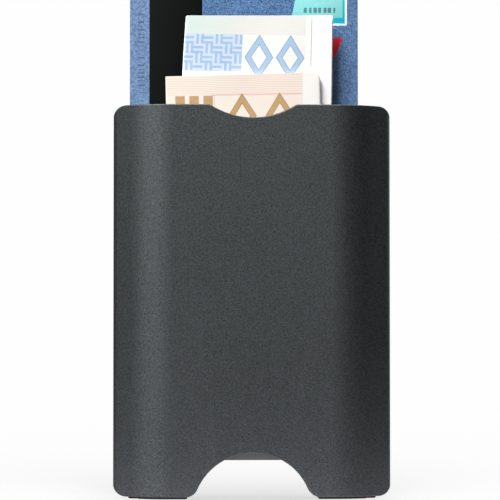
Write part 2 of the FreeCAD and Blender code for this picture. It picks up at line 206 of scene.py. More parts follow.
class Nodes:
    """Adds nodes to one tree. Each method gives back a Field."""

    def __init__(self, tree):
        self.tree = tree

    def fill(self, socket, value):
        if isinstance(value, Field):
            self.tree.links.new(value.socket, socket)
        elif isinstance(value, tuple) and socket.type == "RGBA":
            socket.default_value = (*value, 1.0)
        else:
            socket.default_value = value

    def node(self, kind, inputs, output=0, **settings):
        made = self.tree.nodes.new(kind)
        for label, value in settings.items():
            setattr(made, label, value)
        for label, value in inputs.items():
            self.fill(made.inputs[label], value)
        return Field(self, made.outputs[output])

    def math(self, operation, a, b=0.0, c=0.0, clamp=False):
        return self.node("ShaderNodeMath", {0: a, 1: b, 2: c}, operation=operation, use_clamp=clamp)

    def vector(self, operation, a, b=(0.0, 0.0, 0.0), output=0):
        return self.node("ShaderNodeVectorMath", {0: a, 1: b}, output=output, operation=operation)

    def scaled(self, colour, factor):
        return self.node("ShaderNodeVectorMath", {0: colour, "Scale": factor}, operation="SCALE")

    def split(self, vector):
        parts = self.node("ShaderNodeSeparateXYZ", {0: vector}).socket.node
        return [Field(self, output) for output in parts.outputs]

    def mix(self, factor, first, second):
        return self.node("ShaderNodeMix", {0: factor, 6: first, 7: second}, 2, data_type="RGBA")

    def length(self, a, b):
        return self.math("SQRT", a * a + b * b)

    def lozenge(self, across, up, half_width, half_height, band):
        """A diamond outline: 1 inside the band."""
        reach = (abs(across) / half_width + abs(up) / half_height) * half_width
        return reach.between(half_width - band, half_width)


class Surface(Nodes):
    """One material: its Principled shader, and the place on the object in millimetres."""

    def __init__(self, name):
        self.material = bpy.data.materials.new(name)
        self.material.use_nodes = True
        super().__init__(self.material.node_tree)
        self.shader = self.tree.nodes["Principled BSDF"]
        here = self.node("ShaderNodeTexCoord", {}, "Object")
        self.place = self.scaled(here, 1 / MM)
        self.x, self.y, self.z = self.split(self.place)

    def noise(self, size, detail=2.0, stretch=(1.0, 1.0, 1.0)):
        """Smooth noise around 0, mostly within -0.3 to 0.3, in blotches about size across."""
        at = self.vector("MULTIPLY", self.place, stretch)
        inputs = {"Vector": at, "Scale": 1 / size, "Detail": detail, "Roughness": 0.55}
        return self.node("ShaderNodeTexNoise", inputs) - 0.5

    def normal(self):
        """The face's true direction, as three fields."""
        return self.split(self.node("ShaderNodeNewGeometry", {}, "True Normal"))

    def edges(self, start, soft):
        """1 along convex edges."""
        pointed = self.node("ShaderNodeNewGeometry", {}, "Pointiness")
        return pointed.above(start, soft)

    def shade(self, colour, roughness, height=None, **others):
        """Fills the shader. Height is the relief in millimetres."""
        self.fill(self.shader.inputs["Base Color"], colour)
        self.fill(self.shader.inputs["Roughness"], roughness)
        for label, value in others.items():
            self.fill(self.shader.inputs[label.replace("_", " ")], value)
        if height is not None:
            bump = self.node("ShaderNodeBump", {"Distance": MM, "Height": height})
            self.fill(self.shader.inputs["Normal"], bump)
        return self.material


# ---------------- plain materials


def anodised_metal():
    """Bead-blasted aluminium, dyed dark grey: fine dimples, a slight colour grain, paler worn edges."""
    s = Surface("sleeve_anodised")
    grain = s.noise(0.34, 5)
    dimples = s.noise(0.16, 3)
    clouds = s.noise(22, 3)
    rubbed = s.noise(3.5, 4)
    worn = s.edges(0.60, 0.16) * (rubbed + 0.45)
    tone = grain * 2.1 + clouds * 0.10 + 1.0
    dyed = s.scaled((0.205, 0.227, 0.233), tone)
    colour = s.mix(worn * 0.55, dyed, (0.52, 0.55, 0.57))
    roughness = grain * 0.16 + clouds * 0.05 + 0.40
    return s.shade(colour, roughness, dimples * 0.006, Metallic=1.0)


def moulded_nylon():
    """The feet: black nylon with a fine spark-eroded texture."""
    s = Surface("foot_nylon")
    texture = s.noise(0.30, 3)
    flow = s.noise(5, 2, (1.0, 1.0, 0.3))
    scuffed = s.edges(0.58, 0.2) * (s.noise(1.4, 3) + 0.4)
    tone = texture * 0.4 + flow * 0.3 + 1.0
    colour = s.mix(scuffed * 0.4, s.scaled((0.016, 0.017, 0.018), tone), (0.07, 0.07, 0.07))
    return s.shade(colour, texture * 0.2 + 0.52, texture * 0.012)


def rolled_steel():
    """The spring plate: rolled strip, brushed along its height."""
    s = Surface("spring_steel")
    brushed = s.noise(0.16, 3, (1.0, 1.0, 0.015))
    stains = s.noise(9, 3)
    tone = brushed * 0.5 + stains * 0.2 + 1.0
    colour = s.scaled((0.52, 0.53, 0.55), tone)
    return s.shade(colour, brushed * 0.3 + 0.34, brushed * 0.003, Metallic=1.0)


def wool_felt():
    """The grip pads: dark pressed wool with lighter fibres among the darker ones."""
    s = Surface("grip_felt")
    fibres = s.noise(0.25, 4, (1.0, 1.0, 0.35))
    crossing = s.noise(0.25, 4, (0.35, 1.0, 1.0))
    matted = fibres + crossing
    colour = s.mix(matted.above(0.12, 0.3), (0.022, 0.023, 0.026), (0.075, 0.077, 0.082))
    return s.shade(colour, matted * 0.1 + 0.92, matted * 0.05, Sheen_Weight=0.25)


def gold_contact():
    """The chip's contact plates: thin gold over nickel, faintly brushed."""
    s = Surface("chip_contact")
    brushed = s.noise(0.12, 2, (0.06, 1.0, 1.0))
    wiped = s.noise(2.2, 3)
    tone = brushed * 0.3 + wiped * 0.25 + 1.0
    colour = s.scaled((0.92, 0.70, 0.36), tone)
    return s.shade(colour, wiped * 0.2 + 0.36, brushed * 0.002, Metallic=1.0)


def chip_resin():
    """The resin carrier that shows between the contact plates."""
    s = Surface("chip_resin")
    cast = s.noise(0.3, 3)
    colour = s.scaled((0.035, 0.030, 0.024), cast * 0.5 + 1.0)
    return s.shade(colour, cast * 0.2 + 0.5, cast * 0.004)


def magnetic_tape():
    """A card's stripe: glossy black tape with faint length-wise swipe marks."""
    s = Surface("magnetic_tape")
    swipes = s.noise(0.14, 3, (1.0, 1.0, 0.01))
    haze = s.noise(6, 3)
    colour = s.scaled((0.0045, 0.0054, 0.0051), swipes * 0.6 + haze * 0.3 + 1.0)
    return s.shade(colour, swipes * 0.12 + haze * 0.1 + 0.45, swipes * 0.001, Specular_IOR_Level=0.05)


# ---------------- printed cards


CARD_FILM = 0.09  # thickness of the printed film on each face


def laminate(s, core, front, back, box):
    """Finishes a card's material: its two printed faces, and the pale core along its edge."""
    low, high = box
    _, facing, _ = s.normal()
    middle = (low.y + high.y) / 2 / MM
    half = (high.y - low.y) / 2 / MM
    film = abs(s.y - middle).above(half - CARD_FILM, 0.02)
    edge = s.mix(film * 0.6, s.scaled(core, s.noise(0.4, 3) * 0.3 + 1.0), s.scaled(core, 0.45))
    faces = s.mix(facing.above(0.0, 0.2), front, back)
    colour = s.mix(abs(facing).above(0.6, 0.2), edge, faces)
    scratches = s.noise(0.12, 3, (1.0, 1.0, 0.03))
    peel = s.noise(0.8, 2)
    return s.shade(colour, scratches * 0.2 + 0.36, peel * 0.004 + scratches * 0.002, Coat_Weight=0.15)


def card_place(s, box):
    """Millimetres from the card's left edge, and below its top edge."""
    low, high = box
    return s.x - low.x / MM, high.z / MM - s.z


def sparkle(s, colour, amount, size=0.30):
    """Ink with fine flakes in it."""
    flakes = s.noise(size, 2)
    clouds = s.noise(7, 2)
    return s.scaled(colour, flakes * amount + clouds * 0.16 + 1.0)


def micro_rule(across, down, centre, width):
    """A row of short bars of uneven length, in place of small print."""
    row = across.between(centre - width / 2, centre + width / 2, 0.10)
    strokes = (down.wave(0.93) + down.wave(1.71, 1.0) * 0.6).above(0.55, 0.6)
    gaps = down.wave(11.3, 0.6).above(-0.8, 0.2)
    return row * strokes * gaps


def signature_panel(across, down, left=21.0, top=30.0, bottom=76.0):
    """The writing strip on a card's front, 11 mm wide."""
    return across.between(left, left + 11.0, 0.08) * down.between(top, bottom, 0.08)


def blue_card(box):
    s = Surface("card_blue")
    across, down = card_place(s, box)
    pale = sparkle(s, srgb(115, 144, 183), 2.5)
    deep = sparkle(s, srgb(86, 120, 162), 3.4)
    dusk = sparkle(s, srgb(92, 122, 162), 2.8)
    ground = s.mix(across.above(5.0, 0.5), pale, deep)
    ground = s.mix(across.above(44.0, 14.0), ground, dusk)
    rule = micro_rule(across, down, 2.65, 1.6)
    ground = s.mix(rule * 0.55, ground, srgb(46, 66, 100))
    accent = across + down * 0.40
    slash = accent.between(53.2, 56.7, 0.12) * down.between(15.9, 20.4, 0.12)
    ground = s.mix(slash, ground, srgb(246, 24, 42))
    panel = signature_panel(across, down, 20.5, 33.0, 78.0)
    ruled = (across + down).wave(1.1).above(0.75, 0.3)
    signature = s.mix(ruled * 0.35, srgb(232, 233, 228), srgb(120, 145, 185))
    front = s.mix(panel, ground, signature)
    swayed = down + across.wave(38) * 4.0
    swell = swayed.wave(9.0)
    washed = s.mix(swell.above(0.2, 1.2) * 0.45, deep, sparkle(s, srgb(146, 172, 206), 0.4))
    hairline = swayed.wave(1.5).above(0.93, 0.12)
    back = s.mix(hairline * 0.5, washed, srgb(196, 212, 232))
    return laminate(s, (0.78, 0.78, 0.75), front, back, box)


def green_card(box):
    s = Surface("card_green")
    across, down = card_place(s, box)
    leaf = sparkle(s, srgb(34, 118, 92), 0.30)
    shade = sparkle(s, srgb(18, 84, 68), 0.30)
    slant = (across + down * 0.6).wave(17.0)
    back = s.mix(slant.above(0.1, 0.06), leaf, shade)
    fine = (across - down * 0.6).wave(0.9).above(0.85, 0.2)
    back = s.mix(fine * 0.30, back, srgb(120, 196, 160))
    panel = signature_panel(across, down)
    ruled = down.wave(1.2).above(0.7, 0.3)
    front = s.mix(panel, shade, s.mix(ruled * 0.3, srgb(228, 230, 222), srgb(90, 150, 125)))
    return laminate(s, (0.80, 0.80, 0.76), front, back, box)


def white_card(box):
    s = Surface("card_white")
    across, down = card_place(s, box)
    paper = sparkle(s, srgb(226, 227, 224), 0.06)
    band = down.between(8.0, 20.0, 0.06)
    back = s.mix(band, paper, sparkle(s, srgb(214, 92, 52), 0.12))
    spot = s.length(across.within(2.4), down.within(2.4)).below(0.45, 0.1)
    back = s.mix(spot * down.above(24.0, 0.1) * 0.4, back, srgb(150, 156, 164))
    bars = down.between(40.0, 52.0, 0.05) * (across.wave(1.9) + across.wave(0.83, 2.0)).above(0.25, 0.1)
    bars = bars * across.between(22.0, 48.0, 0.05)
    front = s.mix(bars, paper, srgb(30, 32, 34))
    return laminate(s, (0.82, 0.82, 0.80), front, back, box)


def charcoal_card(box):
    s = Surface("card_charcoal")
    across, down = card_place(s, box)
    slate = sparkle(s, srgb(58, 61, 66), 0.35)
    weave = (across + down).wave(0.8) * (across - down).wave(0.8)
    woven = s.mix(weave.above(0.1, 0.5) * 0.5, slate, srgb(30, 32, 36))
    border = across.between(3.0, 51.0, 0.05) * down.between(3.0, 82.6, 0.05)
    inset = across.between(3.4, 50.6, 0.05) * down.between(3.4, 82.2, 0.05)
    back = s.mix(border - inset, woven, srgb(190, 160, 96))
    panel = signature_panel(across, down)
    front = s.mix(panel, woven, sparkle(s, srgb(214, 214, 208), 0.08))
    return laminate(s, (0.10, 0.10, 0.11), front, back, box)


def label_print(box):
    """The corner label: pale field, teal frame, white rim, and two rows of bars in place of words."""
    s = Surface("card_label")
    low, high = box
    across = s.x - low.x / MM
    up = s.z - low.z / MM
    wide = (high.x - low.x) / MM
    inward = wide - across
    lean = across - up * 0.20
    tall = (high.z - low.z) / MM
    teal = sparkle(s, srgb(8, 170, 190), 0.12)
    field = s.mix(s.noise(1.5, 2).above(0.0, 0.8), srgb(120, 189, 190), srgb(130, 198, 197))
    inside = inward.above(1.05, 0.08) * up.above(1.85, 0.08)
    colour = s.mix(inside, teal, field)
    rim = s.math("MINIMUM", inward, up).below(0.50, 0.08)
    colour = s.mix(rim, colour, srgb(236, 246, 247))
    words = up.between(3.0, 4.25, 0.12) * lean.between(2.6, 10.1, 0.2)
    words = words * (across.wave(1.15) + across.wave(2.9, 0.6) * 0.5).above(-0.35, 0.5)
    small = up.between(6.2, 6.8, 0.1) * lean.between(2.6, 10.6, 0.2)
    small = small * (across.wave(0.55) + across.wave(1.7, 0.6) * 0.6).above(-0.3, 0.5)
    dark = words * 0.75 + small * 0.6
    colour = s.mix(dark * up.below(tall - 0.8, 0.1), colour, srgb(30, 72, 78))
    return s.shade(colour, s.noise(0.5, 2) * 0.15 + 0.38, s.noise(0.8, 2) * 0.003)


# ---------------- banknote paper


def sheet_place(s):
    """Millimetres across the folded note's front, millimetres below its top edge, and the layer."""
    stored = s.node("ShaderNodeAttribute", {}, "Vector", attribute_name="sheet")
    return s.split(stored)


def bank_paper(s, colour):
    """Cotton paper: soft fibres in colour and relief."""
    fibres = s.noise(0.16, 4)
    mottle = s.noise(2.6, 3)
    crumple = s.noise(5.5, 2, (1.0, 1.0, 0.5))
    toned = s.scaled(colour, fibres * 0.05 + mottle * 0.045 + 1.0)
    height = fibres * 0.006 + mottle * 0.012 + crumple * 0.05
    return s.shade(toned, fibres * 0.1 + 0.78, height, Specular_IOR_Level=0.25)


def fine_lines(across, down, pitch, sway, share):
    """Level hairlines that sway slightly, as an engraver's ruling does."""
    return (down + across.wave(11.0) * sway).wave(pitch).above(share, 0.5)


def diamond(s, ground, across, down, outline, fill):
    """Adds a plain diamond, as wide as 6.8 mm and as tall as 10.8 mm, with a darker outline."""
    ground = s.mix(s.lozenge(across, down, 3.4, 5.4, 1.6), ground, outline)
    return s.mix(s.lozenge(across, down, 3.15, 5.05, 1.15), ground, fill)


def lower_print(s, washes, arcs, pale, tint, dark):
    """The large print below the note's head: soft washes under thin arcs."""
    washed = s.mix(washes.above(0.0, 1.6) * 0.6, pale, tint)
    return s.mix(arcs * 0.4, washed, dark)


def inner_print(s, down, ruled, arcs, pale, tint, dark):
    """The print on the folded note's other layers: ruling, and arcs that start below the head."""
    lined = s.mix(ruled * 0.35, pale, tint)
    return s.mix(arcs * down.above(8.0, 6.0) * 0.5, lined, dark)


def blue_note_paper():
    """The rear note: a pale green band, a blue woven panel, two diamonds and a blank margin."""
    s = Surface("note_blue")
    across, down, layer = sheet_place(s)
    paper = srgb(254, 254, 252)
    mint = s.mix(across.above(9.0, 12.0), srgb(218, 234, 227), srgb(238, 237, 230))
    ruled = fine_lines(across, down, 0.62, 0.25, 0.55)
    ground = s.mix(down.below(4.6, 0.1) * 0.9, srgb(247, 246, 241), mint)
    ground = s.mix(ruled * 0.10, ground, srgb(198, 196, 204))
    printed = across.below(28.9, 0.1)

    basket = (across.cell(2.3) + down.cell(2.3)).parity()
    upright = across.wave(1.15).above(0.1, 0.5)
    level = down.wave(1.15).above(0.1, 0.5)
    weave = upright * basket + level * (1 - basket)
    panel = across.between(0.15, 13.85, 0.08) * down.between(4.6, 13.3, 0.08)
    blue = s.mix(s.noise(2.0, 3).above(0.0, 0.5), srgb(158, 189, 228), srgb(180, 206, 235))
    blue = s.mix(weave * 0.62, blue, srgb(236, 243, 250))
    ground = s.mix(panel, ground, blue)

    for centre in (17.9, 25.3):
        ground = diamond(s, ground, across - centre, down - 9.9, srgb(138, 172, 210), srgb(176, 201, 228))

    washes = (across + down * 0.5).wave(19.0)
    arcs = s.length(across - 30.0, down - 52.0).wave(2.1).above(0.55, 0.3)
    lower = lower_print(s, washes, arcs, srgb(232, 238, 246), srgb(176, 202, 232), srgb(140, 172, 212))
    ground = s.mix(down.above(14.5, 0.4), ground, lower)
    tones = srgb(244, 246, 244), srgb(184, 206, 230), srgb(158, 188, 222)
    inked = s.mix(layer.above(1.5, 0.1), ground, inner_print(s, down, ruled, arcs, *tones))
    return bank_paper(s, s.mix(printed, paper, inked))


def orange_note_paper():
    """The front note: pink ruling, a row of blocks, two diamonds and a blank margin."""
    s = Surface("note_orange")
    across, down, layer = sheet_place(s)
    paper = srgb(251, 248, 243)
    blush = s.mix(across.above(16.0, 14.0), srgb(252, 244, 231), srgb(249, 235, 224))
    ruled = fine_lines(across, down, 0.42, 0.05, 0.35)
    ground = s.mix(down.below(4.7, 0.1) * ruled * 0.34, blush, srgb(228, 178, 158))
    level_line = down.between(4.6, 4.85, 0.08) * across.above(10.8, 0.1)
    ground = s.mix(level_line * 0.6, ground, srgb(222, 160, 146))
    upright_line = across.between(11.25, 11.45, 0.08) * down.above(4.7, 0.1)
    ground = s.mix(upright_line * 0.5, ground, srgb(226, 178, 150))

    blocks = abs(across.within(3.3)).below(1.12, 0.1) * down.between(4.85, 10.2, 0.08)
    mark = blocks * across.between(1.6, 11.1, 0.08)
    amber = s.mix(s.noise(0.9, 3).above(0.0, 0.5), srgb(198, 159, 111), srgb(213, 178, 136))
    ground = s.mix(mark, ground, amber)

    for centre in (17.85, 26.7):
        ground = diamond(s, ground, across - centre, down - 9.75, srgb(184, 142, 92), srgb(201, 167, 121))

    washes = (across - down * 0.4).wave(23.0)
    arcs = s.length(across - 6.0, down - 50.0).wave(2.4).above(0.55, 0.3)
    lower = lower_print(s, washes, arcs, srgb(248, 232, 214), srgb(232, 188, 142), srgb(214, 156, 104))
    ground = s.mix(down.above(14.5, 0.4), ground, lower)
    printed = across.below(32.2, 0.1)
    tones = srgb(249, 244, 236), srgb(232, 196, 164), srgb(222, 172, 126)
    inked = s.mix(layer.above(1.5, 0.1), ground, inner_print(s, down, ruled, arcs, *tones))
    return bank_paper(s, s.mix(printed, paper, inked))


# ---------------- mesh helpers


def new_piece(name, mesh, body, material, replaces=()):
    """A finished piece in the scene: on its body, with its material, standing for CAD nodes."""
    piece = bpy.data.objects.new(name, mesh)
    bpy.context.scene.collection.objects.link(piece)
    piece.data.materials.append(material)
    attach(piece, body)
    if replaces:
        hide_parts(*replaces)
    return piece


def mesh_from(bm, name, smooth_angle=None):
    bmesh.ops.recalc_face_normals(bm, faces=bm.faces)
    mesh = bpy.data.meshes.new(name)
    bm.to_mesh(mesh)
    bm.free()
    if smooth_angle is not None:
        mesh.polygons.foreach_set("use_smooth", [True] * len(mesh.polygons))
        mesh.set_sharp_from_angle(angle=math.radians(smooth_angle))
    return mesh


def join_rings(bm, lower, upper):
    """A band of faces between two closed rings of vertices."""
    for i in range(len(lower)):
        j = (i + 1) % len(lower)
        bm.faces.new((lower[i], lower[j], upper[j], upper[i]))


def add_stack(bm, rings):
    """A closed solid through rings with the same number of points, capped at both ends."""
    loops = [[bm.verts.new(point) for point in ring] for ring in rings]
    for lower, upper in zip(loops, loops[1:]):
        join_rings(bm, lower, upper)
    bm.faces.new(list(reversed(loops[0])))
    bm.faces.new(loops[-1])


def rounded_outline(left, bottom, right, top, radius, steps=6):
    """Points (x, z) anticlockwise round a rectangle with rounded corners."""
    points = []
    corners = ((right, top, 0), (left, top, 1), (left, bottom, 2), (right, bottom, 3))
    for x, z, quarter in corners:
        centre_x = x - math.copysign(radius, x - (left + right) / 2)
        centre_z = z - math.copysign(radius, z - (bottom + top) / 2)
        for step in range(steps + 1):
            angle = math.radians(90) * (quarter + step / steps)
            points.append((centre_x + radius * math.cos(angle), centre_z + radius * math.sin(angle)))
    return points


def shrink(points, amount):
    """The outline moved inwards by about amount, towards its middle."""
    count = len(points)
    middle_x = sum(p[0] for p in points) / count
    middle_z = sum(p[1] for p in points) / count
    half_x = max(abs(p[0] - middle_x) for p in points)
    half_z = max(abs(p[1] - middle_z) for p in points)
    across, up = 1 - amount / half_x, 1 - amount / half_z
    return [(middle_x + (x - middle_x) * across, middle_z + (z - middle_z) * up) for x, z in points]


def add_plate(bm, points, base, face, rim):
    """A flat plate from depth base to depth face, with its outer rim chamfered."""
    shoulder = face + math.copysign(rim, base - face)
    inner = shrink(points, rim)
    rings = [(points, base), (points, shoulder), (inner, face)]
    add_stack(bm, [[(x, depth, z) for x, z in ring] for ring, depth in rings])


# ---------------- folded banknotes


def upright_size(low, high, tilt):
    """Width and height of a rectangle that fills this box once turned by tilt."""
    cosine, sine = math.cos(tilt), abs(math.sin(tilt))
    across, up = high.x - low.x, high.z - low.z
    spread = cosine * cosine - sine * sine
    return (across * cosine - up * sine) / spread, (up * cosine - across * sine) / spread


def straight(start, end, depth, layer):
    """Stations of a flat layer."""
    count = max(2, round(abs(end - start) / SHEET_STEP))
    return [(start + (end - start) * i / count, depth, layer) for i in range(count)]


def turn(side, at, start_depth, end_depth, layer):
    """Stations of the half turn where one layer folds into the next, bulging towards side."""
    middle, radius = (start_depth + end_depth) / 2, abs(end_depth - start_depth) / 2
    stations = []
    for i in range(TURN_STEPS):
        share = i / TURN_STEPS
        swing = math.pi * share
        depth = middle + (start_depth - middle) * math.cos(swing)
        stations.append((at + side * radius * math.sin(swing), depth, layer + share))
    return stations


def fold_path(half_width, depth, inset):
    """Stations (towards the fold, depth, layer) of a sheet folded in half, then in half again."""
    front, back = PAPER / 2, depth - PAPER / 2
    inner_front, inner_back = front + LEAF_GAP, back - LEAF_GAP
    outer_turn = half_width - (back - front) / 2 - PAPER / 2
    inner_turn = outer_turn - TURN_CLEARANCE
    hairpin = -half_width + LEAF_GAP / 2 + PAPER / 2
    inner_end = -half_width + INNER_INSET
    stations = straight(-half_width + inset, outer_turn, front, 1)
    stations += turn(1, outer_turn, front, back, 1)
    stations += straight(outer_turn, hairpin, back, 2)
    stations += turn(-1, hairpin, back, inner_back, 2)
    stations += straight(hairpin, inner_turn, inner_back, 3)
    stations += turn(1, inner_turn, inner_back, inner_front, 3)
    stations += straight(inner_turn, inner_end, inner_front, 4)
    stations.append((inner_end, inner_front, 4))
    return stations


def layer_creep(from_fold, layer):
    """How far a layer has crept up, as a share, because no fold is quite square to its sheet."""
    shares = (0.0, from_fold, 1.3 * from_fold - 0.3, -0.3 - 0.4 * from_fold)
    return shares[min(int(layer), 4) - 1]


def keep_cut_edges_crisp(mesh):
    """Marks a sheet's free edges sharp, so that they stay crisp once it has thickness."""
    bm = bmesh.new()
    bm.from_mesh(mesh)
    for edge in bm.edges:
        edge.smooth = not edge.is_boundary
    bm.to_mesh(mesh)
    bm.free()


def sheet_ends(shape, half, height, across, layer):
    """The foot and the head of a sheet at one station: crept, worn at the fold's corners, sloping."""
    creep = shape.creep * layer_creep((half - across) / (2 * half), layer)
    past = max(0.0, across - (half - shape.corner))
    worn = shape.corner - math.sqrt(max(0.0, shape.corner ** 2 - past ** 2))
    foot = -height / 2 + worn * FOOT_WEAR + creep
    head = height / 2 - worn * HEAD_WEAR + creep + shape.head_slope * across * shape.fold_side
    return foot, head


def rippled(shape, x, up, depth, layer):
    """A layer's depth with its ripples: the whole note's, and a little of its own."""
    ripple = noise.noise(Vector((x / (11 * MM), up / (19 * MM), shape.seed)))
    sheet_seed = shape.seed + 5.0 * int(layer + 0.5)
    own = noise.noise(Vector((x / (7 * MM), up / (9 * MM), sheet_seed)))
    return depth + ripple * RIPPLE + own * LAYER_RIPPLE


def sheet_faces(columns, rows):
    """Faces between neighbouring columns of points."""
    faces = []
    for column in range(columns - 1):
        for row in range(rows - 1):
            first = column * rows + row
            faces.append((first, first + rows, first + rows + 1, first + 1))
    return faces


def folded_note(node, shape, material):
    """A banknote folded twice, in the space of its CAD solid, with its own print coordinates."""
    low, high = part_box(node)
    width, height = upright_size(low, high, shape.tilt)
    half = width / 2
    stations = fold_path(half, high.y - low.y, shape.inset)
    centre = (low + high) / 2
    turned = Matrix.Rotation(-shape.tilt, 3, "Y")
    places, prints = [], []
    for across, depth, layer in stations:
        x = across * shape.fold_side
        foot, head = sheet_ends(shape, half, height, across, layer)
        for row in range(SHEET_ROWS + 1):
            up = foot + (head - foot) * row / SHEET_ROWS
            near_top = max(0.0, 1 - (height / 2 - up) / PINCH_REACH)
            drawn_in = shape.pinch * (1 - (half - across) / width) * near_top ** 1.5
            deep = rippled(shape, x, up, depth, layer) + shape.lean * near_top
            spot = turned @ Vector((x - shape.fold_side * drawn_in, 0.0, up))
            places.append((centre.x + spot.x, low.y + deep, centre.z + spot.z))
            prints.append(((x + half) / MM, (height / 2 - up) / MM, float(layer)))
    faces = sheet_faces(len(stations), SHEET_ROWS + 1)
    mesh = bpy.data.meshes.new(node + "_sheet")
    mesh.from_pydata(places, [], faces)
    mesh.polygons.foreach_set("use_smooth", [True] * len(mesh.polygons))
    stored = mesh.attributes.new("sheet", "FLOAT_VECTOR", "POINT")
    stored.data.foreach_set("vector", [value for triple in prints for value in triple])
    keep_cut_edges_crisp(mesh)
    piece = new_piece(node + "_sheet", mesh, node, material, (node,))
    paper = piece.modifiers.new("paper", "SOLIDIFY")
    paper.thickness = PAPER
    paper.offset = 0.0
    return piece


# ---------------- felt pads

FELT_CELL = 0.5 * MM
FELT_CORNER = 1.5 * MM
FELT_FIBRES = 1300
FELT_GLUE = 0.02 * MM  # gap between the pad's flat back and the end of its box
FELT_BACK_INSET = 0.05 * MM
FELT_FACE_INSET = 0.35 * MM
FELT_SIDE_LEVELS = (0.35, 0.7, 0.9)
FELT_SIDE_REACH = 0.86  # how far the sides run forward, as a share of the thickness
FELT_SIDE_ROUGH = 0.05 * MM
FIBRE_MARGIN = 0.4 * MM
FIBRE_START_X = 0.6 * MM
FIBRE_START_Z = 1.6 * MM
FIBRE_STEPS = 5
Pad = namedtuple("Pad", "low high middle_x middle_z half_x half_z seed")


def felt_pad(node, seed):
    """A pad's box, with its middle and its half sizes."""
    low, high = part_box(node)
    middle_x, middle_z = (high.x + low.x) / 2, (high.z + low.z) / 2
    return Pad(low, high, middle_x, middle_z, (high.x - low.x) / 2, (high.z - low.z) / 2, seed)


def pulled_in(pad, x, z, inset):
    """Pulls a point of the pad's rectangle inside its rounded outline."""
    reach_x, reach_z = pad.half_x - inset, pad.half_z - inset
    x, z = x * reach_x / pad.half_x, z * reach_z / pad.half_z
    over_x, over_z = abs(x) - (reach_x - FELT_CORNER), abs(z) - (reach_z - FELT_CORNER)
    if over_x > 0 and over_z > 0:
        most = max(over_x, over_z)
        pull = most / math.hypot(over_x, over_z)
        x = math.copysign(reach_x - FELT_CORNER + over_x * pull, x)
        z = math.copysign(reach_z - FELT_CORNER + over_z * pull, z)
    return x, z


def nap(pad, x, z):
    """How deep the felt's lumpy face lies behind the front of its box."""
    lumps = noise.noise(Vector((x / (1.1 * MM), z / (1.1 * MM), pad.seed)))
    fuzz = noise.noise(Vector((x / (0.4 * MM), z / (0.4 * MM), pad.seed + 3)))
    return (0.14 + 0.07 * lumps + 0.05 * fuzz) * MM


def felt_face(bm, pad, depth_of, inset):
    """One large face of the pad, as columns of vertices."""
    columns, rows = round(2 * pad.half_x / FELT_CELL), round(2 * pad.half_z / FELT_CELL)
    grid = []
    for i in range(columns + 1):
        line = []
        for j in range(rows + 1):
            across = -pad.half_x + i * 2 * pad.half_x / columns
            up = -pad.half_z + j * 2 * pad.half_z / rows
            x, z = pulled_in(pad, across, up, inset)
            line.append(bm.verts.new((pad.middle_x + x, depth_of(x, z), pad.middle_z + z)))
        grid.append(line)
    for i in range(columns):
        for j in range(rows):
            bm.faces.new((grid[i][j], grid[i + 1][j], grid[i + 1][j + 1], grid[i][j + 1]))
    return grid


def border(grid):
    """A grid's outer vertices in order."""
    columns, rows = len(grid) - 1, len(grid[0]) - 1
    edge = [grid[i][0] for i in range(columns)]
    edge += [grid[columns][j] for j in range(rows)]
    edge += [grid[i][rows] for i in range(columns, 0, -1)]
    edge += [grid[0][j] for j in range(rows, 0, -1)]
    return edge


def felt_sides(bm, pad, glued, proud):
    """The pad's rough sides, drawn in towards the front."""
    previous = border(glued)
    for level in FELT_SIDE_LEVELS:
        depth = pad.high.y - (pad.high.y - pad.low.y) * level * FELT_SIDE_REACH
        bulge = FELT_BACK_INSET + (FELT_FACE_INSET - FELT_BACK_INSET) * level ** 4
        ring = []
        for vertex in border(glued):
            x, z = vertex.co.x - pad.middle_x, vertex.co.z - pad.middle_z
            at = Vector((x / (0.6 * MM), depth / (0.3 * MM), z / (0.6 * MM)))
            share = 1 - (bulge + noise.noise(at) * FELT_SIDE_ROUGH) / pad.half_x
            up = z - math.copysign(bulge, z)
            ring.append(bm.verts.new((pad.middle_x + x * share, depth, pad.middle_z + up)))
        join_rings(bm, previous, ring)
        previous = ring
    join_rings(bm, previous, border(proud))


def felt_mesh(node, seed):
    """A pressed felt strip: softened rims, a lumpy nap and loose fibres lying on it."""
    pad = felt_pad(node, seed)
    draw = random.Random(seed)
    bm = bmesh.new()
    glued = felt_face(bm, pad, lambda x, z: pad.high.y - FELT_GLUE, FELT_BACK_INSET)
    proud = felt_face(bm, pad, lambda x, z: pad.low.y + nap(pad, x, z), FELT_FACE_INSET)
    felt_sides(bm, pad, glued, proud)
    for _ in range(FELT_FIBRES):
        x = draw.uniform(-pad.half_x + FIBRE_START_X, pad.half_x - FIBRE_START_X)
        z = draw.uniform(-pad.half_z + FIBRE_START_Z, pad.half_z - FIBRE_START_Z)
        add_fibre(bm, draw, pad, x, z)
    return mesh_from(bm, node + "_felt", 60)


